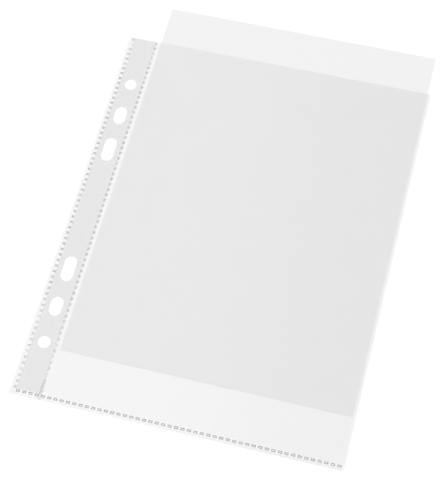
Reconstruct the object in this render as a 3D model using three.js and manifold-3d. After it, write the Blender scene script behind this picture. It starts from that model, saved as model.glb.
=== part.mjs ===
// A clear film pocket for an A5 sheet, punched along its binding edge, with the sheet part way in.
// Millimetres. X runs from the binding edge to the folded edge, Y from the closed bottom to the open
// mouth, and Z up from the surface that the pocket lies on. Places are worked out from the lower
// corner of the binding edge, and the last lines move the middle of the underside to the origin.
import * as THREE from "three";
import { mergeVertices } from "three/addons/utils/BufferGeometryUtils.js";
import Module from "manifold-3d";

// Film, tape and paper
const FILM_THICKNESS = 0.1;
const TAPE_THICKNESS = 0.2;
const SHEET_THICKNESS = 0.1;

// The sheet and the room that the pocket leaves round it
const SHEET_WIDTH = 148;
const SHEET_HEIGHT = 210;
const SIDE_ROOM = 1.75;
const SLIDING_GAP = 0.2;
const SEAT_ROOM = 0.1;
const MOUTH_ROOM = 0.55;
const SHEET_PULLED_OUT = 23.65;

// The reinforcing tape and the holes in it
const TAPE_WIDTH = 12.6;
const TAPE_TO_WELD = 0.3;
const HOLE_INSET = 8.8;
const HOLE_WIDTH = 6.4;
const ROUND_HOLE_SPACING = 155;
const SHORT_SLOT_SPACING = 115;
const SHORT_SLOT_LENGTH = 10.5;
const LONG_SLOT_SPACING = 72;
const LONG_SLOT_LENGTH = 14;
const HOLE_ARC_STEPS = 8;

// The welds: rows of pressed dots
const DOT_WIDTH = 1.4;
const DOT_PITCH = 3.223;
const OUTER_WELD_INSET = 1.85;
const BOTTOM_WELD_INSET = 2.15;
const BOTTOM_DOT_LENGTH = 2;
const FIRST_SIDE_DOT = 3.84;
const FIRST_BOTTOM_DOT = 4.1;
const DOT_END_MARGIN = 0.4;

// How the front film steps over the tape and rises over the sheet
const TAPE_STEP_RUN = 0.25;
const TAPE_EDGE_CLEARANCE = 0.02;
const WELD_FLAT = 0.2;
const RISE_RUN = 0.8;
const FOLD_ARC_STEPS = 8;

// Heights of the front film's underside where it lies on the rear film, on the tape, and over the sheet
const seamLevel = FILM_THICKNESS;
const tapeLevel = FILM_THICKNESS + TAPE_THICKNESS;
const sheetLevel = FILM_THICKNESS + SLIDING_GAP;
const openLevel = sheetLevel + SHEET_THICKNESS + SLIDING_GAP;
const pressedFilm = FILM_THICKNESS / 2;

// Places across the pocket
const tapeStart = OUTER_WELD_INSET + DOT_WIDTH / 2 + TAPE_TO_WELD;
const tapeEnd = tapeStart + TAPE_WIDTH;
const innerWeld = tapeEnd;
const innerWeldEnd = innerWeld + DOT_WIDTH / 2;
const panelStart = innerWeldEnd + WELD_FLAT + RISE_RUN;
const sheetLeft = innerWeldEnd + SIDE_ROOM;
const pocketWidth = sheetLeft + SHEET_WIDTH + SIDE_ROOM + FILM_THICKNESS;
const foldRadius = (openLevel + FILM_THICKNESS) / 2;
const foldStart = pocketWidth - foldRadius;

// Places along the pocket
const bottomWeldEnd = BOTTOM_WELD_INSET + DOT_WIDTH / 2;
const openStart = bottomWeldEnd + WELD_FLAT + RISE_RUN;
const seatedSheetBottom = openStart + SEAT_ROOM;
const pocketHeight = seatedSheetBottom + SHEET_HEIGHT + MOUTH_ROOM;
const sheetBottom = seatedSheetBottom + SHEET_PULLED_OUT;

const wasm = await Module();
wasm.setup();

// A closed three.js geometry as a solid that can be joined and cut
function solidOf(geometry) {
  const bare = geometry.clone();
  bare.deleteAttribute("normal");
  bare.deleteAttribute("uv");
  const merged = mergeVertices(bare, 1e-4);
  return new wasm.Manifold(
    new wasm.Mesh({
      numProp: 3,
      vertProperties: merged.attributes.position.array,
      triVerts: new Uint32Array(merged.index.array),
    }),
  );
}

function geometryOf(solid) {
  const mesh = solid.getMesh();
  const geometry = new THREE.BufferGeometry();
  geometry.setAttribute("position", new THREE.BufferAttribute(mesh.vertProperties, mesh.numProp));
  geometry.setIndex(new THREE.BufferAttribute(mesh.triVerts, 1));
  geometry.computeVertexNormals();
  return geometry;
}

function boxBetween(low, high) {
  const size = high.map((value, axis) => value - low[axis]);
  const middle = high.map((value, axis) => (value + low[axis]) / 2);
  return new THREE.BoxGeometry(...size).translate(...middle);
}

// A piecewise straight line through [place, value] points that rise in place
function along(points, place) {
  if (place <= points[0][0]) return points[0][1];
  for (let i = 1; i < points.length; i += 1) {
    const [start, startValue] = points[i - 1];
    const [end, endValue] = points[i];
    if (place <= end) return startValue + ((endValue - startValue) * (place - start)) / (end - start);
  }
  return points[points.length - 1][1];
}

// The holes: a round one, a short slot and a long slot at each end, alike about the middle
function holeOutlines() {
  const rows = [
    [ROUND_HOLE_SPACING, HOLE_WIDTH],
    [SHORT_SLOT_SPACING, SHORT_SLOT_LENGTH],
    [LONG_SLOT_SPACING, LONG_SLOT_LENGTH],
  ];
  const radius = HOLE_WIDTH / 2;
  const outlines = [];
  for (const [spacing, length] of rows) {
    for (const side of [-1, 1]) {
      const middle = pocketHeight / 2 + (side * spacing) / 2;
      const reach = (length - HOLE_WIDTH) / 2;
      const outline = new THREE.Shape();
      outline.absarc(HOLE_INSET, middle + reach, radius, 0, Math.PI);
      outline.absarc(HOLE_INSET, middle - reach, radius, Math.PI, 2 * Math.PI);
      outlines.push(outline);
    }
  }
  return outlines;
}

// The punch that cuts all the holes through every layer
function punch() {
  const depth = 2 * (openLevel + FILM_THICKNESS);
  const settings = { depth, bevelEnabled: false, curveSegments: HOLE_ARC_STEPS };
  const pins = holeOutlines().map((outline) => {
    const pin = new THREE.ExtrudeGeometry(outline, settings);
    return solidOf(pin.translate(0, 0, -depth / 4));
  });
  return wasm.Manifold.union(pins);
}

// Middles of a row of dots from the first one up to the margin before the end
function dotRow(first, end, length) {
  const places = [];
  for (let place = first; place + length / 2 + DOT_END_MARGIN <= end; place += DOT_PITCH) {
    places.push(place);
  }
  return places;
}

// The rectangle that one dot covers, as [low x, low y, high x, high y]
function dotArea(x, y, length, width) {
  return [x - length / 2, y - width / 2, x + length / 2, y + width / 2];
}

function sideDots(weld) {
  const places = dotRow(FIRST_SIDE_DOT, pocketHeight, DOT_WIDTH);
  return places.map((y) => dotArea(weld, y, DOT_WIDTH, DOT_WIDTH));
}

function bottomDots() {
  const places = dotRow(FIRST_BOTTOM_DOT, foldStart - RISE_RUN, BOTTOM_DOT_LENGTH);
  return places.map((x) => dotArea(x, BOTTOM_WELD_INSET, BOTTOM_DOT_LENGTH, DOT_WIDTH));
}

// A block over each area, from one height to another
function blocks(areas, bottom, top) {
  const made = areas.map(([lowX, lowY, highX, highY]) =>
    solidOf(boxBetween([lowX, lowY, bottom], [highX, highY, top])),
  );
  return wasm.Manifold.union(made);
}

// Height of the front film's underside: down on the rear film at the margin and at the welds, over
// the tape, and up over the sheet between the inner weld, the bottom weld and the fold
const stripProfile = [
  [tapeStart - TAPE_STEP_RUN, seamLevel],
  [tapeStart - TAPE_EDGE_CLEARANCE, tapeLevel],
  [tapeEnd + TAPE_EDGE_CLEARANCE, tapeLevel],
  [tapeEnd + TAPE_STEP_RUN, seamLevel],
];
const weldSideRise = [
  [innerWeldEnd + WELD_FLAT, 0],
  [panelStart, 1],
];
const bottomRise = [
  [bottomWeldEnd + WELD_FLAT, 0],
  [openStart, 1],
];
const foldRise = [
  [foldStart - RISE_RUN, 0],
  [foldStart, 1],
];

function frontLevel(x, y) {
  const besideWelds = Math.min(along(weldSideRise, x), along(bottomRise, y));
  const share = Math.max(besideWelds, along(foldRise, x));
  return along(stripProfile, x) + share * (openLevel - seamLevel);
}

// A sheet of film whose underside follows a height over a grid of break lines
function filmOver(xBreaks, yBreaks, level) {
  const positions = [];
  const faces = [];
  const columns = xBreaks.length;
  const rows = yBreaks.length;
  for (const lift of [0, FILM_THICKNESS]) {
    for (const y of yBreaks) {
      for (const x of xBreaks) positions.push(x, y, level(x, y) + lift);
    }
  }
  const under = (column, row) => row * columns + column;
  const over = (column, row) => under(column, row) + columns * rows;
  const quad = (a, b, c, d) => faces.push(a, b, c, a, c, d);
  for (let row = 0; row + 1 < rows; row += 1) {
    for (let column = 0; column + 1 < columns; column += 1) {
      const next = column + 1;
      const above = row + 1;
      quad(over(column, row), over(next, row), over(next, above), over(column, above));
      faces.push(under(column, row), under(next, above), under(next, row));
      faces.push(under(column, row), under(column, above), under(next, above));
    }
  }
  const lastRow = rows - 1;
  for (let column = 0; column + 1 < columns; column += 1) {
    const next = column + 1;
    quad(under(column, 0), under(next, 0), over(next, 0), over(column, 0));
    quad(under(next, lastRow), under(column, lastRow), over(column, lastRow), over(next, lastRow));
  }
  const lastColumn = columns - 1;
  for (let row = 0; row + 1 < rows; row += 1) {
    const above = row + 1;
    quad(under(0, above), under(0, row), over(0, row), over(0, above));
    quad(under(lastColumn, row), under(lastColumn, above), over(lastColumn, above), over(lastColumn, row));
  }
  const geometry = new THREE.BufferGeometry();
  geometry.setAttribute("position", new THREE.Float32BufferAttribute(positions, 3));
  geometry.setIndex(faces);
  return geometry;
}

// The rear film: flat on the table, punched
function rearFilm() {
  const flat = boxBetween([0, 0, 0], [foldStart, pocketHeight, FILM_THICKNESS]);
  return geometryOf(solidOf(flat).subtract(punch()));
}

// The whole front ply: stepped over the tape, raised over the sheet, punched, and pressed at every
// dot. Along the inner weld the dots go right through the tape's edge down to the rear film.
function frontPly() {
  const xBreaks = [stripProfile, weldSideRise, foldRise].flat().map(([place]) => place);
  const yBreaks = bottomRise.map(([place]) => place);
  const film = solidOf(filmOver([0, ...xBreaks], [0, ...yBreaks, pocketHeight], frontLevel));
  const above = 2 * openLevel;
  const pressedTop = seamLevel + pressedFilm;
  const tapeDots = bottomDots().filter((area) => area[2] < tapeEnd);
  const filmDots = bottomDots().filter((area) => area[0] > tapeEnd);
  const innerDots = sideDots(innerWeld);
  const seamDots = [...sideDots(OUTER_WELD_INSET), ...filmDots, ...innerDots];
  const pressed = film
    .subtract(blocks(seamDots, pressedTop, above))
    .subtract(blocks(tapeDots, tapeLevel + pressedFilm, above))
    .add(blocks(innerDots, seamLevel, pressedTop));
  return pressed.subtract(punch());
}

// The part of a ply that lies over one rectangle of the pocket
function plyOver(ply, lowX, lowY, highX, highY) {
  const column = boxBetween([lowX, lowY, 0], [highX, highY, 2 * openLevel]);
  return geometryOf(ply.intersect(solidOf(column)));
}

// The front ply in its three flat parts: the punched margin over the tape, up to where the film has
// risen over the sheet, the hem that the bottom weld holds, and the open film between them
function punchedMargin(ply) {
  return plyOver(ply, 0, 0, panelStart, pocketHeight);
}

function bottomHem(ply) {
  return plyOver(ply, panelStart, 0, foldStart, openStart);
}

function frontFilm(ply) {
  return plyOver(ply, panelStart, openStart, foldStart, pocketHeight);
}

// The folded edge: half a tube that joins the two films
function foldedEdge() {
  const inner = foldRadius - FILM_THICKNESS;
  const section = new THREE.Shape();
  section.absarc(0, 0, foldRadius, -Math.PI / 2, Math.PI / 2);
  section.absarc(0, 0, inner, Math.PI / 2, -Math.PI / 2, true);
  const settings = { depth: pocketHeight, bevelEnabled: false, curveSegments: FOLD_ARC_STEPS };
  return new THREE.ExtrudeGeometry(section, settings)
    .rotateX(Math.PI / 2)
    .translate(foldStart, pocketHeight, foldRadius);
}

// The reinforcing tape between the films: punched, and notched where the inner weld's dots melt it
function reinforcingTape() {
  const strip = boxBetween([tapeStart, 0, seamLevel], [tapeEnd, pocketHeight, tapeLevel]);
  const notches = blocks(sideDots(innerWeld), 0, openLevel);
  return geometryOf(solidOf(strip).subtract(notches).subtract(punch()));
}

// The paper sheet, lying between the films and part way out of the mouth
function paperSheet() {
  const low = [sheetLeft, sheetBottom, sheetLevel];
  const high = [sheetLeft + SHEET_WIDTH, sheetBottom + SHEET_HEIGHT, sheetLevel + SHEET_THICKNESS];
  return boxBetween(low, high);
}

function clearFilm() {
  return new THREE.MeshStandardMaterial({
    color: 0xeef0f1,
    roughness: 0.25,
    metalness: 0,
    transparent: true,
    opacity: 0.3,
  });
}

function whitePaper() {
  return new THREE.MeshStandardMaterial({ color: 0xf3f3f3, roughness: 0.9, metalness: 0 });
}

function frostedTape() {
  return new THREE.MeshStandardMaterial({
    color: 0xe2e4e5,
    roughness: 0.45,
    metalness: 0,
    transparent: true,
    opacity: 0.6,
  });
}

function named(name, geometry, material) {
  const mesh = new THREE.Mesh(geometry, material);
  mesh.name = name;
  return mesh;
}

const pocket = new THREE.Group();
const ply = frontPly();
pocket.add(named("rear_film", rearFilm(), clearFilm()));
pocket.add(named("binding_tape", reinforcingTape(), frostedTape()));
pocket.add(named("punched_margin", punchedMargin(ply), clearFilm()));
pocket.add(named("bottom_hem", bottomHem(ply), clearFilm()));
pocket.add(named("front_film", frontFilm(ply), clearFilm()));
pocket.add(named("folded_edge", foldedEdge(), clearFilm()));
pocket.add(named("paper_sheet", paperSheet(), whitePaper()));
pocket.position.set(-pocketWidth / 2, -pocketHeight / 2, 0);

const assembly = new THREE.Group();
assembly.add(pocket);

export default assembly;
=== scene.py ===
"""Dresses a punched film pocket and the sheet in it, and sets the table and the light that show them.

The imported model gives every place. The film web, the reinforcing tape and the sheet are modelled over
their plain solids, in metres, in the same frame: X from the binding edge to the folded edge, Y from the
closed bottom to the open mouth, Z up from the table.
"""

import math

import bmesh
import bpy
from mathutils import Matrix, Vector


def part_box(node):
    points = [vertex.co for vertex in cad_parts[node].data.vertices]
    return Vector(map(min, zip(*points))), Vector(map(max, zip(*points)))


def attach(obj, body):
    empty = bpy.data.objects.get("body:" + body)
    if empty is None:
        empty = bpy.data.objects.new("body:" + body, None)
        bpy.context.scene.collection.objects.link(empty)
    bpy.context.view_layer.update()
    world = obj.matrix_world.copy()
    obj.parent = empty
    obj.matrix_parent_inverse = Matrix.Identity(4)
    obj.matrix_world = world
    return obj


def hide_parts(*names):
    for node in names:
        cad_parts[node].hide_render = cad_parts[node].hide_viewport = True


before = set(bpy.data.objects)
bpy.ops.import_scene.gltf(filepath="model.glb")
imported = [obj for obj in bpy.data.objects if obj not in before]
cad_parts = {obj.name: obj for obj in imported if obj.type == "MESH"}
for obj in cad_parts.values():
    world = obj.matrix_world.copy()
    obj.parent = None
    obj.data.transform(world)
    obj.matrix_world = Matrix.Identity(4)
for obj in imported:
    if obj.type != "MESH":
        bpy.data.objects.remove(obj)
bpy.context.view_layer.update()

bl_info = {
    "name": "Punched film pocket",
    "version": (1, 0, 0),
    "blender": (4, 5, 0),
    "location": "View3D > Sidebar > Pocket",
    "description": "Models a welded film pocket with its reinforcing tape and sheet",
    "category": "Add Mesh",
}

MM = 0.001
TINY = 0.002 * MM
CUT_SNAP = TINY / 10
MERGE_REACH = TINY / 20
# How far a cutting block reaches past what it cuts.
BEYOND = MM
# Edges that bend by fewer degrees are shaded smooth.
SMOOTH_BELOW = 35


def corners(node):
    """A CAD node's lowest and highest corners to the micrometre, so that every pack gives the same."""
    return [Vector([round(value, 6) for value in corner]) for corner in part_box(node)]


REAR_LOW, REAR_HIGH = corners("rear_film")
_, FOLD_HIGH = corners("folded_edge")
_, MARGIN_HIGH = corners("punched_margin")
_, HEM_HIGH = corners("bottom_hem")
PANEL_LOW, PANEL_HIGH = corners("front_film")
TAPE_LOW, TAPE_HIGH = corners("binding_tape")
SHEET_LOW, SHEET_HIGH = corners("paper_sheet")

AXES = {"x": Vector((1, 0, 0)), "y": Vector((0, 1, 0))}


def length(name, description, millimetres):
    """A length property whose default is given in millimetres."""
    return bpy.props.FloatProperty(
        name=name,
        description=description,
        default=millimetres * MM,
        min=0.0,
        precision=5,
        unit="LENGTH",
    )


def colour(name, description, code):
    """A colour property whose default is an sRGB hex code."""
    return bpy.props.FloatVectorProperty(
        name=name,
        description=description,
        default=linear(code)[:3],
        min=0.0,
        max=1.0,
        size=3,
        subtype="COLOR",
    )


def linear(code):
    """An sRGB hex colour as linear red, green, blue and a full alpha."""
    parts = [int(code[i : i + 2], 16) / 255 for i in (1, 3, 5)]
    return [p / 12.92 if p <= 0.04045 else ((p + 0.055) / 1.055) ** 2.4 for p in parts] + [1.0]


class FilmSizes(bpy.types.PropertyGroup):
    """The clear web and the welds pressed into it."""

    thickness: length("Film thickness", "Thickness of one ply", 0.1)
    ply_gap: length("Gap between plies", "Air between plies that lie on each other", 0.01)
    fold_radius: length("Fold radius", "Outer radius of the folded edge", 0.28)
    slack: length("Slack", "How far the front ply dips over the sheet", 0.12)
    outer_inset: length("Outer weld inset", "Binding edge to the middle of the outer dots", 2.0)
    bottom_inset: length("Bottom weld inset", "Bottom edge to the middle of the bottom dots", 2.15)
    dot_width: length("Dot width", "Width of a pressed dot, across its row", 1.3)
    inner_dot_width: length("Inner dot width", "Width of a dot on the edge of the tape", 1.2)
    bottom_dot_length: length("Bottom dot length", "Length of a bottom dot, along its row", 2.0)
    dot_pitch: length("Dot pitch", "Middle to middle of neighbouring dots", 3.223)
    first_side_dot: length("First side dot", "Bottom edge to the first side dot", 3.84)
    first_bottom_dot: length("First bottom dot", "Binding edge to the first bottom dot", 4.1)
    bar_width: length("Bar width", "Width of the pressed bar at the bottom of the inner row", 1.45)
    bar_length: length("Bar length", "Length of that bar from the bottom edge", 9.8)
    bar_offset: length("Bar offset", "Edge of the tape to the middle of that bar", 0.05)
    low_full: length("Full grey above", "Bottom edge to the lowest side dots of full grey", 65)
    low_faint: length("Faint below", "Bottom edge to the highest of the faintest side dots", 25)
    high_full: length("Full grey below", "Mouth to the highest side dots of full grey", 25)
    high_faint: length("Faint above", "Mouth to the lowest of the faintest side dots", 8)
    bead_width: length("Bead width", "Width of the raised rim that a dot presses up", 0.28)
    bead_height: length("Bead height", "Height of the raised rim over the film", 0.03)
    colour: colour("Film colour", "What the film lets through", "#FFFFFF")
    # The weld rim's pale colour is partly stress whitening and partly a painted highlight, the bright halo
    # round each dot.
    rim_whitened_and_highlight_colour: colour("Weld rim colour", "Rim of a dot, stress-whitened and painted lighter as a highlight", "#F6F6F6")
    dot_colour: colour("Weld dot colour", "Pressed floor of a dot", "#525354")


class HoleSizes(bpy.types.PropertyGroup):
    """The six punched holes, alike about the middle of the pocket."""

    inset: length("Hole inset", "Binding edge to the middle of the holes", 8.8)
    width: length("Hole width", "Width of every hole", 6.4)
    round_spacing: length("Round hole spacing", "Middle to middle of the round holes", 155)
    short_spacing: length("Short slot spacing", "Middle to middle of the short slots", 115)
    short_length: length("Short slot length", "Length of a short slot", 10.5)
    long_spacing: length("Long slot spacing", "Middle to middle of the long slots", 72)
    long_length: length("Long slot length", "Length of a long slot", 14)


class TapeSizes(bpy.types.PropertyGroup):
    """The reinforcing tape between the plies."""

    edge_radius: length("Tape edge radius", "Rounding of the tape's slit edges", 0.04)
    colour: colour("Tape colour", "Frosted polypropylene", "#F4F5F5")


class SheetSizes(bpy.types.PropertyGroup):
    """The sheet of paper."""

    waviness: length("Sheet waviness", "How far the sheet is from flat", 0.04)
    colour: colour("Paper colour", "Uncoated office paper", "#F4F4F4")


class StageSizes(bpy.types.PropertyGroup):
    """The table, the light and the camera."""

    floor_size: length("Floor size", "Side of the pale floor", 8000)
    floor_colour: colour("Floor colour", "Pale floor, as lit", "#6A6A6A")
    lamp_size: length("Lamp size", "Side of the soft lamp", 4800)
    lamp_power: bpy.props.FloatProperty(
        name="Lamp power", description="Power of the soft lamp", default=464.0, unit="POWER"
    )
    camera_lens: bpy.props.FloatProperty(
        name="Lens", description="Focal length on a 36 mm high frame, in mm", default=109.28
    )


# Modelling helpers


def only(piece):
    """Makes piece the one selected and active object."""
    if bpy.context.mode != "OBJECT":
        bpy.ops.object.mode_set(mode="OBJECT")
    bpy.ops.object.select_all(action="DESELECT")
    piece.select_set(True)
    bpy.context.view_layer.objects.active = piece


def edit(piece):
    """Opens piece in edit mode with everything selected."""
    only(piece)
    bpy.ops.object.mode_set(mode="EDIT")
    bpy.ops.mesh.select_all(action="SELECT")


def done():
    bpy.ops.object.mode_set(mode="OBJECT")


def pick(piece, kind, test):
    """Selects the verts, edges or faces of the edited piece whose middle passes the test."""
    bpy.ops.mesh.select_all(action="DESELECT")
    modes = (kind == "verts", kind == "edges", kind == "faces")
    bpy.context.tool_settings.mesh_select_mode = modes
    mesh = bmesh.from_edit_mesh(piece.data)
    for part in getattr(mesh, kind):
        points = [part] if kind == "verts" else part.verts
        middle = sum((point.co for point in points), Vector()) / len(points)
        part.select_set(test(middle))
    bmesh.update_edit_mesh(piece.data)


def move(x=0.0, y=0.0, z=0.0):
    bpy.ops.transform.translate(value=(x, y, z))


def flatten(height):
    """Brings the selected points to one height."""
    bpy.ops.transform.resize(value=(1, 1, 0), center_override=(0, 0, height))


def block(name, low, high):
    """A closed block between two corners."""
    bpy.ops.object.select_all(action="DESELECT")
    bpy.ops.mesh.primitive_cube_add(size=1)
    piece = bpy.context.active_object
    piece.name = piece.data.name = name
    return placed(piece, low, high)


def rectangle(name, low, high, height):
    """A flat face between two corners, seen from above."""
    bpy.ops.object.select_all(action="DESELECT")
    bpy.ops.mesh.primitive_plane_add(size=1)
    piece = bpy.context.active_object
    piece.name = piece.data.name = name
    low = Vector((low.x, low.y, height - 0.5))
    high = Vector((high.x, high.y, height + 0.5))
    return placed(piece, low, high)


def placed(piece, low, high):
    """Stretches a unit primitive at the origin to the space between two corners."""
    low, high = Vector(low), Vector(high)
    edit(piece)
    bpy.ops.transform.resize(value=high - low)
    bpy.ops.transform.translate(value=(low + high) / 2)
    done()
    return piece


def cut_along(piece, axis, places):
    """Adds a line of edges across the whole piece at each place along an axis."""
    edit(piece)
    for place in places:
        bpy.ops.mesh.select_all(action="SELECT")
        direction = AXES[axis]
        bpy.ops.mesh.bisect(plane_co=direction * place, plane_no=direction, threshold=CUT_SNAP)
    done()


def apply(piece, kind, **fields):
    """Adds a modifier with its settings and applies it."""
    modifier = piece.modifiers.new(kind.lower(), kind)
    for field, value in fields.items():
        setattr(modifier, field, value)
    only(piece)
    bpy.ops.object.modifier_apply(modifier=modifier.name)


def repeat(piece, step, count):
    """Copies the piece count times in all, each a step further."""
    apply(
        piece,
        "ARRAY",
        fit_type="FIXED_COUNT",
        count=count,
        use_relative_offset=False,
        use_constant_offset=True,
        constant_offset_displace=step,
    )


def combine(piece, tool, operation):
    """Joins the tool to the piece or cuts it out, with the tool's own finish, and removes the tool."""
    apply(
        piece,
        "BOOLEAN",
        object=tool,
        operation=operation,
        solver="EXACT",
        material_mode="TRANSFER",
    )
    bpy.data.objects.remove(tool)


def smooth(piece):
    """Shades the piece smooth, apart from its sharp edges."""
    only(piece)
    bpy.ops.object.shade_smooth_by_angle(angle=math.radians(SMOOTH_BELOW))


def check_closed(piece):
    """Stops the build where the piece isn't a closed body."""
    mesh = bmesh.new()
    mesh.from_mesh(piece.data)
    open_edges = sum(1 for edge in mesh.edges if len(edge.link_faces) < 2)
    empty = not mesh.faces
    mesh.free()
    if empty or open_edges:
        raise RuntimeError(f"{piece.name} isn't closed: {open_edges} open edges")


def finish_piece(piece, body, slot, *nodes):
    """Merges doubled points, and ties the piece to its body and the nodes it stands for. The slot is not
    used.
    """
    edit(piece)
    bpy.ops.mesh.remove_doubles(threshold=MERGE_REACH)
    bpy.ops.mesh.normals_make_consistent(inside=False)
    done()
    check_closed(piece)
    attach(piece, body)
    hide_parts(*nodes)


# Finishes


def new_material(name):
    """An empty node material, as (material, tree, output)."""
    material = bpy.data.materials.new(name)
    material.use_nodes = True
    tree = material.node_tree
    tree.nodes.clear()
    output = tree.nodes.new("ShaderNodeOutputMaterial")
    return material, tree, output


def add_node(tree, kind, fields=None, values=None, links=None):
    """Adds a node, with its own fields, its sockets' values and the sockets that feed it."""
    made = tree.nodes.new(kind)
    for field, value in (fields or {}).items():
        setattr(made, field, value)
    for socket, value in (values or {}).items():
        made.inputs[socket].default_value = value
    for socket, source in (links or {}).items():
        tree.links.new(source, made.inputs[socket])
    return made


def rgba(colour_value):
    return [*colour_value[:3], 1.0]


def lumps(tree, size):
    """A level that drifts softly between 0 and 1 over lumps of about the given size."""
    place = add_node(tree, "ShaderNodeTexCoord")
    pattern = add_node(
        tree,
        "ShaderNodeTexNoise",
        values={"Scale": 1 / size, "Detail": 2.0},
        links={"Vector": place.outputs["Object"]},
    )
    return pattern.outputs["Fac"]


def uneven(tree, colour_value, size, spread):
    """A colour that is lighter and darker by the spread, in clouds of about the given size."""
    level = add_node(
        tree,
        "ShaderNodeMapRange",
        values={"From Min": 0.35, "From Max": 0.65, "To Min": 1 - spread, "To Max": 1 + spread},
        links={"Value": lumps(tree, size)},
    )
    shade = add_node(
        tree,
        "ShaderNodeVectorMath",
        {"operation": "SCALE"},
        {0: colour_value},
        {"Scale": level.outputs[0]},
    )
    return shade.outputs[0]


def unflat(tree, size, depth):
    """The normal of a face that has lumps of about the given size and depth."""
    bump = add_node(
        tree, "ShaderNodeBump", values={"Distance": depth}, links={"Height": lumps(tree, size)}
    )
    return bump.outputs["Normal"]


# How much the film's gloss gives back of what it mirrors.
GLOSS_SHARE = 0.8


def clear_film():
    """Cast polypropylene, calendered smooth: clear, seen mostly by the soft gloss on its faces."""
    sizes = bpy.context.scene.pocket_film
    material, tree, output = new_material("cast polypropylene film")
    facing = add_node(tree, "ShaderNodeLayerWeight", values={"Blend": 0.5})
    grazing = add_node(
        tree,
        "ShaderNodeMath",
        {"operation": "POWER"},
        {1: 5.0},
        {0: facing.outputs["Facing"]},
    )
    head_on = 0.036
    shine = add_node(
        tree,
        "ShaderNodeMath",
        {"operation": "MULTIPLY_ADD"},
        {1: 1 - head_on, 2: head_on},
        {0: grazing.outputs[0]},
    )
    through = add_node(tree, "ShaderNodeBsdfTransparent", values={"Color": rgba(sizes.colour)})
    # The chill roll leaves patches of finer and coarser gloss, and shallow waves.
    patch_size = 6 * MM
    wave_size = 12 * MM
    wave_depth = 0.02 * MM
    haze = add_node(
        tree,
        "ShaderNodeMapRange",
        values={"From Min": 0.35, "From Max": 0.65, "To Min": 0.1, "To Max": 0.14},
        links={"Value": lumps(tree, patch_size)},
    )
    gloss = add_node(
        tree,
        "ShaderNodeBsdfGlossy",
        values={"Color": rgba([GLOSS_SHARE] * 3)},
        links={"Roughness": haze.outputs[0], "Normal": unflat(tree, wave_size, wave_depth)},
    )
    mixed = add_node(
        tree,
        "ShaderNodeMixShader",
        links={0: shine.outputs[0], 1: through.outputs[0], 2: gloss.outputs[0]},
    )
    tree.links.new(mixed.outputs[0], output.inputs["Surface"])
    return material


def plastic(name, alpha, roughness, shade, face):
    """A translucent plastic: shade is its colour, cloud size and spread, face its lump size and depth."""
    material, tree, output = new_material(name)
    surface = add_node(
        tree,
        "ShaderNodeBsdfPrincipled",
        values={"Roughness": roughness, "IOR": 1.49, "Alpha": alpha},
        links={"Base Color": uneven(tree, *shade), "Normal": unflat(tree, *face)},
    )
    tree.links.new(surface.outputs[0], output.inputs["Surface"])
    return material


def fade_at_ends(material):
    """Pales a weld's grey towards both ends of the side rows, where the dies press less."""
    tree = material.node_tree
    surface = next(node for node in tree.nodes if node.type == "BSDF_PRINCIPLED")
    grey = surface.inputs["Base Color"].links[0].from_socket
    film = bpy.context.scene.pocket_film
    low_end = (REAR_LOW.y + film.low_full, REAR_LOW.y + film.low_faint)
    high_end = (REAR_HIGH.y - film.high_full, REAR_HIGH.y - film.high_faint)
    times_paler = 7.0
    place = add_node(tree, "ShaderNodeTexCoord")
    parts = add_node(
        tree, "ShaderNodeSeparateXYZ", links={"Vector": place.outputs["Object"]}
    )
    ends = []
    for full, faint in (low_end, high_end):
        end = add_node(
            tree,
            "ShaderNodeMapRange",
            values={"From Min": full, "From Max": faint, "To Min": 1.0, "To Max": times_paler},
            links={"Value": parts.outputs["Y"]},
        )
        ends.append(end.outputs[0])
    fade = add_node(
        tree, "ShaderNodeMath", {"operation": "MAXIMUM"}, links={0: ends[0], 1: ends[1]}
    )
    faded = add_node(
        tree,
        "ShaderNodeVectorMath",
        {"operation": "SCALE"},
        links={0: grey, "Scale": fade.outputs[0]},
    )
    tree.links.new(faded.outputs[0], surface.inputs["Base Color"])
    return material


def weld_rim():
    """Film pushed up and whitened by stress round each dot: milky, in patches, and painted lighter still
    as a highlight on the rim.
    """
    # The rim's pale colour is partly stress whitening and partly a painted highlight, the bright halo
    # round each dot.
    milky = bpy.context.scene.pocket_film.rim_whitened_and_highlight_colour
    return plastic(
        "stress whitened weld rim",
        alpha=0.45,
        roughness=0.35,
        shade=(milky, 2 * MM, 0.06),
        face=(0.5 * MM, 0.01 * MM),
    )


def pressed_weld(name, alpha):
    """Film pressed by a warm die: grey, as its floor bends the light away, and never twice alike."""
    grey = bpy.context.scene.pocket_film.dot_colour
    return plastic(
        name,
        alpha=alpha,
        roughness=0.3,
        shade=(grey, 4 * MM, 0.57),
        face=(0.4 * MM, 0.01 * MM),
    )


def frosted_tape():
    """Extruded polypropylene tape, frosted by an etched roll: pale, mostly clear, faintly mealy.

    The frost is some 0.1 mm across, and is drawn ten times as coarse to show."""
    pale = bpy.context.scene.pocket_tape.colour
    grain = 1 * MM
    return plastic(
        "frosted polypropylene tape",
        alpha=0.045,
        roughness=0.5,
        shade=(pale, grain, 0.12),
        face=(grain, 0.02 * MM),
    )


def office_paper():
    """Uncoated office paper, wire made: matt, toothed, and cloudy where its fibres lie thicker."""
    sizes = bpy.context.scene.pocket_sheet
    cloud_size = 4 * MM
    cloud_spread = 0.004
    tooth_size = 0.4 * MM
    tooth_depth = 0.008 * MM
    material, tree, output = new_material("uncoated office paper")
    surface = add_node(
        tree,
        "ShaderNodeBsdfPrincipled",
        values={"Roughness": 0.85},
        links={
            "Base Color": uneven(tree, sizes.colour, cloud_size, cloud_spread),
            "Normal": unflat(tree, tooth_size, tooth_depth),
        },
    )
    tree.links.new(surface.outputs[0], output.inputs["Surface"])
    return material


# The holes and the welds


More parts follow.
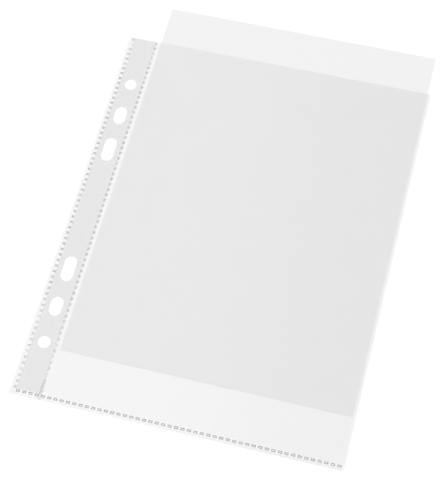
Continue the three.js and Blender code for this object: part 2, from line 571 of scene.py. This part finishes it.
def hole_punch(name):
    """Six pins where the holes are, through everything."""
    holes = bpy.context.scene.pocket_holes
    radius = holes.width / 2
    x = REAR_LOW.x + holes.inset
    rows = [
        (holes.round_spacing, holes.width),
        (holes.short_spacing, holes.short_length),
        (holes.long_spacing, holes.long_length),
    ]
    pins = []
    for spacing, hole_length in rows:
        for side in (-1, 1):
            pins.append(pin(name, x, side * spacing / 2, radius, hole_length))
    only(pins[0])
    for other in pins[1:]:
        other.select_set(True)
    bpy.ops.object.join()
    return pins[0]


def pin(name, x, y, radius, hole_length):
    """A round pin, or one stretched along Y to a slot's length."""
    through_all = 4 * FOLD_HIGH.z
    bpy.ops.object.select_all(action="DESELECT")
    bpy.ops.mesh.primitive_cylinder_add(vertices=64, radius=radius, depth=through_all)
    piece = bpy.context.active_object
    piece.name = name
    edit(piece)
    stretch = hole_length / 2 - radius
    if stretch > TINY:
        pick(piece, "verts", lambda middle: middle.y > TINY)
        move(y=stretch)
        pick(piece, "verts", lambda middle: middle.y < -TINY)
        move(y=-stretch)
    bpy.ops.mesh.select_all(action="SELECT")
    move(x, y)
    done()
    return piece


def weld_button(name, across, along, low, high, drop=0.0):
    """The film that one dot pushes up: a low block with a rounded top, which may slope down along X."""
    slant = 0.14 * MM
    rounding = 0.3 * (high - low)
    piece = block(name, (-across / 2, -along / 2, low), (across / 2, along / 2, high))
    edit(piece)
    pick(piece, "verts", lambda middle: middle.z > high - TINY)
    bpy.ops.transform.resize(value=(1 - 2 * slant / across, 1 - 2 * slant / along, 1))
    if drop:
        pick(piece, "verts", lambda middle: middle.z > high - TINY and middle.x > 0)
        move(z=-drop)
    pick(piece, "edges", lambda middle: middle.z > (low + high) / 2 + TINY)
    bpy.ops.mesh.bevel(offset=rounding, segments=2, affect="EDGES")
    done()
    return piece


def weld_die(name, across, along, floor, top, finishes):
    """The die that presses one dot: tapered, and hollow in the middle, where the floor stays raised."""
    piece = block(name, (-across / 2, -along / 2, floor), (across / 2, along / 2, top))
    for finish in finishes:
        piece.data.materials.append(finish)
    taper = 0.12 * MM
    ring_width = 0.25 * MM
    floor_rise = 0.02 * MM
    edit(piece)
    pick(piece, "verts", lambda middle: middle.z < floor + TINY)
    bpy.ops.transform.resize(value=(1 - 2 * taper / across, 1 - 2 * taper / along, 1))
    pick(piece, "faces", lambda middle: middle.z < floor + TINY)
    bpy.ops.mesh.inset(thickness=ring_width)
    move(z=floor_rise)
    piece.active_material_index = 1
    bpy.ops.object.material_slot_assign()
    done()
    return piece


def row_of(piece, start, step, count):
    """Moves a modelled dot to the start of its row and repeats it."""
    edit(piece)
    bpy.ops.transform.translate(value=start)
    done()
    repeat(piece, step, count)
    return piece


def dots_up_to(first, end, dot_length):
    """How many dots fit in a row from the first one's middle to the end."""
    end_margin = 0.4 * MM
    pitch = bpy.context.scene.pocket_film.dot_pitch
    return int((end - end_margin - dot_length / 2 - first) / pitch + 1)


def weld_rows():
    """Each row of dots as (start, step, count, size, film height, drop to the seam)."""
    film = bpy.context.scene.pocket_film
    height = REAR_HIGH.y - REAR_LOW.y
    width = REAR_HIGH.x - REAR_LOW.x
    step_up = Vector((0, film.dot_pitch, 0))
    step_right = Vector((film.dot_pitch, 0, 0))
    side_count = dots_up_to(film.first_side_dot, height, film.dot_width)
    bottom_count = dots_up_to(film.first_bottom_dot, width, film.bottom_dot_length)
    side_y = REAR_LOW.y + film.first_side_dot
    outer_start = Vector((REAR_LOW.x + film.outer_inset, side_y, 0))
    inner_start = Vector((TAPE_HIGH.x, side_y, 0))
    bottom_start = Vector(
        (REAR_LOW.x + film.first_bottom_dot, REAR_LOW.y + film.bottom_inset, 0)
    )
    square = (film.dot_width, film.dot_width)
    narrow = (film.inner_dot_width, film.inner_dot_width)
    long = (film.bottom_dot_length, film.dot_width)
    low, high = seam_height(), tape_height()
    return {
        "outer": (outer_start, step_up, side_count, square, low, 0),
        "inner": (inner_start, step_up, side_count, narrow, high, high - low),
        "bottom": (bottom_start, step_right, bottom_count, long, low, 0),
    }


def seam_height():
    """Top of the front ply where it lies on the rear ply."""
    film = bpy.context.scene.pocket_film
    return REAR_HIGH.z + film.ply_gap + film.thickness


def tape_start():
    """Where the tape begins, just above the bottom weld, which would not hold through it."""
    film = bpy.context.scene.pocket_film
    weld_top = REAR_LOW.y + film.bottom_inset + film.dot_width / 2
    return weld_top + film.bead_width + 2 * film.ply_gap


def tape_height():
    """Top of the front ply where it lies on the tape."""
    return TAPE_HIGH.z + bpy.context.scene.pocket_film.thickness


def press_welds(web):
    """Pushes up the rims of all the dots, and presses their floors and the bar that ends the inner row."""
    film = bpy.context.scene.pocket_film
    rim = weld_rim()
    floors = {
        "outer": fade_at_ends(pressed_weld("hot pressed weld at the edge", 0.64)),
        "inner": fade_at_ends(pressed_weld("hot pressed weld on tape", 0.42)),
        "bottom": pressed_weld("hot pressed weld dot", 0.72),
    }
    bar_floor = pressed_weld("hot pressed weld bar", 0.18)
    rim_root = seam_height() - 0.9 * film.thickness
    for start, step, count, size, top, drop in weld_rows().values():
        spread = 2 * film.bead_width
        button = weld_button(
            "weld_rims", size[0] + spread, size[1] + spread, rim_root, top + film.bead_height, drop
        )
        button.data.materials.append(rim)
        combine(web, row_of(button, start, step, count), "UNION")
    raise_bar_rim(web, rim)
    pressed_floor = REAR_HIGH.z + film.thickness / 2
    over_the_rims = 0.2 * MM
    for name, (start, step, count, size, top, drop) in weld_rows().items():
        finishes = (floors[name], rim)
        die = weld_die("weld_dies", *size, pressed_floor, top + over_the_rims, finishes)
        combine(web, row_of(die, start, step, count), "DIFFERENCE")
    deeper_by = 0.01 * MM
    bar_start = REAR_LOW.y - BEYOND
    bar = bar_block("closing_bar", 0, bar_start, pressed_floor - deeper_by, BEYOND)
    bar.data.materials.append(bar_floor)
    combine(web, bar, "DIFFERENCE")


def raise_bar_rim(web, rim):
    """Pushes up the rim of the closing bar, which steps down with the film below the tape's start."""
    film = bpy.context.scene.pocket_film
    start = REAR_LOW.y + 0.05 * MM
    root = seam_height() - 0.85 * film.thickness
    top = tape_height() + 0.6 * film.bead_height
    bar_rim = bar_block("bar_rim", film.bead_width, start, root, top)
    cut_along(bar_rim, "y", [tape_start()])

    def below_tape(middle):
        return middle.y < tape_start() - TINY and middle.z > seam_height()

    edit(bar_rim)
    pick(bar_rim, "verts", below_tape)
    move(z=seam_height() - tape_height())
    done()
    bar_rim.data.materials.append(rim)
    combine(web, bar_rim, "UNION")


def bar_block(name, spread, start, floor, top):
    """A block over the bar that ends the inner row, wider than the bar by the spread on each side."""
    film = bpy.context.scene.pocket_film
    half = film.bar_width / 2 + spread
    middle = TAPE_HIGH.x - film.bar_offset
    low = (middle - half, start, floor)
    high = (middle + half, REAR_LOW.y + film.bar_length + spread, top)
    return block(name, low, high)


# The pieces


def web_skin():
    """The web's outer face as one open surface: rear ply, fold, and front ply sloping down to the fold."""
    radius = bpy.context.scene.pocket_film.fold_radius
    slope_run = 1.3 * MM
    fold_steps = 16
    fold_x = FOLD_HIGH.x - radius
    skin = rectangle("film_web", REAR_LOW, Vector((fold_x, REAR_HIGH.y)), REAR_LOW.z)
    edit(skin)
    bpy.ops.mesh.flip_normals()
    pick(skin, "edges", lambda middle: middle.x > fold_x - TINY)
    axis_place = (fold_x, 0, radius)
    bpy.ops.mesh.spin(steps=fold_steps, angle=math.pi, center=axis_place, axis=(0, 1, 0))
    bpy.ops.mesh.extrude_region_move(TRANSFORM_OT_translate={"value": (-slope_run, 0, 0)})
    move(z=FOLD_HIGH.z - 2 * radius)
    reach = REAR_LOW.x - fold_x + slope_run
    bpy.ops.mesh.extrude_region_move(TRANSFORM_OT_translate={"value": (reach, 0, 0)})
    done()
    return skin


def form_front_ply(skin):
    """Lays the front ply down on the rear ply and over the tape, and leaves it raised over the sheet."""
    film = bpy.context.scene.pocket_film
    step_run = 0.25 * MM
    rise_run = 0.8 * MM
    clearance = 0.02 * MM
    support = 0.6 * MM
    fold_rise = REAR_HIGH.x - rise_run
    across = [
        TAPE_LOW.x - step_run,
        TAPE_LOW.x - clearance,
        TAPE_HIGH.x + clearance,
        TAPE_HIGH.x + step_run,
        MARGIN_HIGH.x - rise_run,
        MARGIN_HIGH.x,
        MARGIN_HIGH.x + support,
        fold_rise,
    ]
    upward = [
        tape_start() - step_run,
        tape_start() - clearance,
        HEM_HIGH.y - rise_run,
        HEM_HIGH.y,
        HEM_HIGH.y + support,
    ]
    cut_along(skin, "x", across)
    cut_along(skin, "y", upward)

    def lies_down(middle):
        on_front = middle.z > 2 * film.fold_radius - TINY
        in_margin = middle.x < MARGIN_HIGH.x - TINY
        in_hem = middle.y < HEM_HIGH.y - TINY and middle.x < fold_rise + TINY
        return on_front and (in_margin or in_hem)

    def over_tape(middle):
        across_tape = TAPE_LOW.x - 2 * clearance < middle.x < TAPE_HIGH.x + 2 * clearance
        return across_tape and middle.y > tape_start() - 2 * clearance

    edit(skin)
    pick(skin, "verts", lambda middle: lies_down(middle) and not over_tape(middle))
    flatten(seam_height())
    pick(skin, "verts", lambda middle: lies_down(middle) and over_tape(middle))
    flatten(tape_height())
    done()


def loosen_front_ply(web):
    """Lets the front ply dip a little between its edges, as slack film does."""
    film = bpy.context.scene.pocket_film
    cell = 7 * MM
    columns = int((PANEL_HIGH.x - PANEL_LOW.x) / cell)
    rows = int((PANEL_HIGH.y - PANEL_LOW.y) / cell)
    cut_along(web, "x", [PANEL_HIGH.x - cell * i for i in range(1, columns)])
    cut_along(web, "y", [PANEL_HIGH.y - cell * i for i in range(1, rows)])
    group = web.vertex_groups.new(name="loose film")
    edit(web)
    pick(
        web,
        "verts",
        lambda middle: middle.z > FOLD_HIGH.z - TINY
        and PANEL_LOW.x + cell < middle.x < PANEL_HIGH.x - cell / 2
        and middle.y > PANEL_LOW.y + cell,
    )
    bpy.ops.object.vertex_group_assign()
    done()
    ripple = bpy.data.textures.new("slack film", "CLOUDS")
    ripple.noise_scale = 45 * MM
    apply(
        web,
        "DISPLACE",
        texture=ripple,
        texture_coords="LOCAL",
        direction="Z",
        mid_level=1.0,
        strength=film.slack,
        vertex_group=group.name,
    )


class POCKET_OT_film_web(bpy.types.Operator):
    """Model the folded, welded and punched web of clear film"""

    bl_idname = "pocket.film_web"
    bl_label = "Film web"

    def execute(self, context):
        film = context.scene.pocket_film
        web = web_skin()
        form_front_ply(web)
        loosen_front_ply(web)
        apply(web, "SOLIDIFY", thickness=film.thickness, offset=-1.0, use_even_offset=True)
        web.data.materials.append(clear_film())
        press_welds(web)
        combine(web, hole_punch("web_punch"), "DIFFERENCE")
        smooth(web)
        finish_piece(
            web,
            "pocket",
            "clear_film",
            "rear_film",
            "folded_edge",
            "front_film",
            "punched_margin",
            "bottom_hem",
        )
        return {"FINISHED"}


class POCKET_OT_tape(bpy.types.Operator):
    """Model the reinforcing tape, punched, and notched by the inner weld"""

    bl_idname = "pocket.reinforcing_tape"
    bl_label = "Reinforcing tape"

    def execute(self, context):
        film = context.scene.pocket_film
        gap = Vector((0, 0, film.ply_gap))
        low = Vector((TAPE_LOW.x, tape_start(), TAPE_LOW.z))
        tape = block("reinforcing_tape", low + gap, TAPE_HIGH - gap)
        edit(tape)
        bpy.ops.mesh.bevel(
            offset=context.scene.pocket_tape.edge_radius, segments=2, affect="EDGES"
        )
        done()
        start, step, count, size, _, _ = weld_rows()["inner"]
        spread = 2 * film.bead_width + 2 * film.ply_gap
        notch = block(
            "tape_notches",
            (-(size[0] + spread) / 2, -(size[1] + spread) / 2, -BEYOND),
            ((size[0] + spread) / 2, (size[1] + spread) / 2, BEYOND),
        )
        combine(tape, row_of(notch, start, step, count), "DIFFERENCE")
        notch_spread = film.bead_width + film.ply_gap
        notch_start = REAR_LOW.y - BEYOND
        bar_notch = bar_block("bar_notch", notch_spread, notch_start, -BEYOND, BEYOND)
        combine(tape, bar_notch, "DIFFERENCE")
        combine(tape, hole_punch("tape_punch"), "DIFFERENCE")
        tape.data.materials.clear()
        tape.data.materials.append(frosted_tape())
        smooth(tape)
        finish_piece(tape, "pocket", "frosted_tape", "binding_tape")
        return {"FINISHED"}


class POCKET_OT_sheet(bpy.types.Operator):
    """Model the sheet of paper in the pocket"""

    bl_idname = "pocket.insert_sheet"
    bl_label = "Insert sheet"

    def execute(self, context):
        sizes = context.scene.pocket_sheet
        middle = (SHEET_LOW.z + SHEET_HIGH.z) / 2
        sheet = rectangle("insert_sheet", SHEET_LOW, SHEET_HIGH, middle)
        cell = 5 * MM
        columns = int((SHEET_HIGH.x - SHEET_LOW.x) / cell)
        rows = int((SHEET_HIGH.y - SHEET_LOW.y) / cell)
        cut_along(sheet, "x", [SHEET_LOW.x + cell * i for i in range(1, columns)])
        cut_along(sheet, "y", [SHEET_LOW.y + cell * i for i in range(1, rows)])
        cockle = bpy.data.textures.new("paper cockle", "CLOUDS")
        cockle.noise_scale = 60 * MM
        apply(
            sheet,
            "DISPLACE",
            texture=cockle,
            texture_coords="LOCAL",
            direction="Z",
            mid_level=0.5,
            strength=sizes.waviness,
        )
        apply(sheet, "SOLIDIFY", thickness=SHEET_HIGH.z - SHEET_LOW.z, offset=0.0)
        sheet.data.materials.append(office_paper())
        smooth(sheet)
        finish_piece(sheet, "sheet", "paper", "paper_sheet")
        return {"FINISHED"}


class POCKET_OT_stage(bpy.types.Operator):
    """Set the pale floor, the soft light and the camera"""

    bl_idname = "pocket.stage"
    bl_label = "Table, light and camera"

    def execute(self, context):
        lay_floor()
        light_room()
        place_lamp()
        place_camera()
        context.scene.view_settings.view_transform = "Standard"
        return {"FINISHED"}


def lay_floor():
    """A pale matt floor that reads white to the eye, in gloss and through film, and keeps shadows."""
    sizes = bpy.context.scene.pocket_stage
    half = sizes.floor_size / 2
    clear_below = 0.02 * MM
    floor = rectangle("floor", Vector((-half, -half)), Vector((half, half)), -clear_below)
    material, tree, output = new_material("pale matt floor")
    paint = add_node(
        tree, "ShaderNodeBsdfDiffuse", values={"Color": rgba(sizes.floor_colour)}
    )
    path = add_node(tree, "ShaderNodeLightPath")
    seen = add_node(
        tree,
        "ShaderNodeMath",
        {"operation": "MAXIMUM"},
        links={0: path.outputs["Is Camera Ray"], 1: path.outputs["Is Glossy Ray"]},
    )
    shown = add_node(
        tree,
        "ShaderNodeMath",
        {"operation": "MAXIMUM"},
        links={0: seen.outputs[0], 1: path.outputs["Is Transmission Ray"]},
    )
    glow_share = 0.885
    strength = add_node(
        tree, "ShaderNodeMath", {"operation": "MULTIPLY"}, {1: glow_share}, {0: shown.outputs[0]}
    )
    glow = add_node(
        tree, "ShaderNodeEmission", links={"Strength": strength.outputs[0]}
    )
    both = add_node(
        tree, "ShaderNodeAddShader", links={0: paint.outputs[0], 1: glow.outputs[0]}
    )
    tree.links.new(both.outputs[0], output.inputs["Surface"])
    floor.data.materials.append(material)


# How bright the tent's roof is by its direction's X: the binding edge's side first, the fold's last.
TENT_ROOF = (
    (-0.42, 0.72),
    (-0.25, 0.49),
    (-0.148, 0.48),
    (-0.083, 0.09),
    (0.05, 0.07),
    (0.3, 0.72),
)


def light_room():
    """A soft tent of light whose roof has a darker gap, which the gloss of the film mirrors.

    The camera sees white where it looks past the floor."""
    world = bpy.data.worlds.new("soft tent")
    bpy.context.scene.world = world
    world.use_nodes = True
    tree = world.node_tree
    tree.nodes.clear()
    output = add_node(tree, "ShaderNodeOutputWorld")
    direction = add_node(tree, "ShaderNodeTexCoord")
    parts = add_node(
        tree, "ShaderNodeSeparateXYZ", links={0: direction.outputs["Generated"]}
    )
    reach = 0.5
    along = add_node(
        tree,
        "ShaderNodeMapRange",
        values={"From Min": -reach, "From Max": reach},
        links={"Value": parts.outputs["X"]},
    )
    wall = add_node(tree, "ShaderNodeValToRGB", links={"Fac": along.outputs[0]})
    stops = wall.color_ramp.elements
    while len(stops) < len(TENT_ROOF):
        stops.new(position=0.5)
    for stop, (direction_x, level) in zip(stops, TENT_ROOF):
        stop.position = (direction_x + reach) / (2 * reach)
        stop.color = (level, level, level, 1.0)
    roof = add_node(
        tree, "ShaderNodeBackground", links={"Color": wall.outputs["Color"]}
    )
    path = add_node(tree, "ShaderNodeLightPath")
    side_level = TENT_ROOF[0][1]
    # Sides that look brighter in gloss than they light keep the film clear from low places.
    side_in_gloss = side_level / GLOSS_SHARE
    side_strength = add_node(
        tree,
        "ShaderNodeMapRange",
        values={"To Min": side_level, "To Max": side_in_gloss},
        links={"Value": path.outputs["Is Glossy Ray"]},
    )
    # The sides of the tent pass into its roof from 30 to 46 degrees above the horizon.
    roof_from = 0.5
    roof_full = 0.72
    sides = add_node(
        tree,
        "ShaderNodeBackground",
        values={"Color": rgba([1.0] * 3)},
        links={"Strength": side_strength.outputs[0]},
    )
    overhead = add_node(
        tree,
        "ShaderNodeMapRange",
        values={"From Min": roof_from, "From Max": roof_full},
        links={"Value": parts.outputs["Z"]},
    )
    tent = add_node(
        tree,
        "ShaderNodeMixShader",
        links={0: overhead.outputs[0], 1: sides.outputs[0], 2: roof.outputs[0]},
    )
    white = add_node(tree, "ShaderNodeBackground", values={"Color": rgba([1.0] * 3)})
    seen = add_node(
        tree,
        "ShaderNodeMixShader",
        links={0: path.outputs["Is Camera Ray"], 1: tent.outputs[0], 2: white.outputs[0]},
    )
    tree.links.new(seen.outputs[0], output.inputs["Surface"])


# Where the soft lamp stands, in metres.
LAMP_PLACE = Vector((-6.0, -1.5, 6.6))


def place_lamp():
    """One wide soft lamp, far off on the side of the binding edge, turned to the pocket."""
    sizes = bpy.context.scene.pocket_stage
    data = bpy.data.lights.new("soft lamp", "AREA")
    data.size = sizes.lamp_size
    data.energy = sizes.lamp_power
    lamp = bpy.data.objects.new("soft lamp", data)
    bpy.context.scene.collection.objects.link(lamp)
    turn = (-LAMP_PLACE).to_track_quat("-Z", "Y")
    lamp.matrix_world = Matrix.Translation(LAMP_PLACE) @ turn.to_matrix().to_4x4()


# Where the camera stands, in metres, and how it is turned, in degrees.
CAMERA_PLACE = (0.10986, -0.31765, 0.67063)
CAMERA_TURN = (26.406, 2.613, 14.628)


def place_camera():
    """The photograph's camera, over the lower right of the pocket and looking down at it."""
    data = bpy.data.cameras.new("camera")
    data.sensor_fit = "VERTICAL"
    data.sensor_height = 36
    data.lens = bpy.context.scene.pocket_stage.camera_lens
    camera = bpy.data.objects.new("camera", data)
    camera.location = CAMERA_PLACE
    camera.rotation_euler = [math.radians(angle) for angle in CAMERA_TURN]
    bpy.context.scene.collection.objects.link(camera)
    bpy.context.scene.camera = camera


class POCKET_PT_sidebar(bpy.types.Panel):
    """Lists the pocket's sizes and the buttons that model it"""

    bl_label = "Punched film pocket"
    bl_space_type = "VIEW_3D"
    bl_region_type = "UI"
    bl_category = "Pocket"

    def draw(self, context):
        for group in GROUPS:
            box = self.layout.box()
            sizes = getattr(context.scene, group)
            for name in sizes.bl_rna.properties.keys():
                if name not in ("rna_type", "name"):
                    box.prop(sizes, name)
        for operator in OPERATORS:
            self.layout.operator(operator.bl_idname)


GROUPS = {
    "pocket_film": FilmSizes,
    "pocket_holes": HoleSizes,
    "pocket_tape": TapeSizes,
    "pocket_sheet": SheetSizes,
    "pocket_stage": StageSizes,
}
OPERATORS = (POCKET_OT_stage, POCKET_OT_film_web, POCKET_OT_tape, POCKET_OT_sheet)


def register():
    for group, sizes in GROUPS.items():
        bpy.utils.register_class(sizes)
        setattr(bpy.types.Scene, group, bpy.props.PointerProperty(type=sizes))
    for kind in (*OPERATORS, POCKET_PT_sidebar):
        bpy.utils.register_class(kind)


def unregister():
    for kind in reversed((*OPERATORS, POCKET_PT_sidebar)):
        bpy.utils.unregister_class(kind)
    for group, sizes in GROUPS.items():
        delattr(bpy.types.Scene, group)
        bpy.utils.unregister_class(sizes)


def main():
    register()
    bpy.ops.pocket.stage()
    bpy.ops.pocket.film_web()
    bpy.ops.pocket.reinforcing_tape()
    bpy.ops.pocket.insert_sheet()


if __name__ == "__main__":
    main()
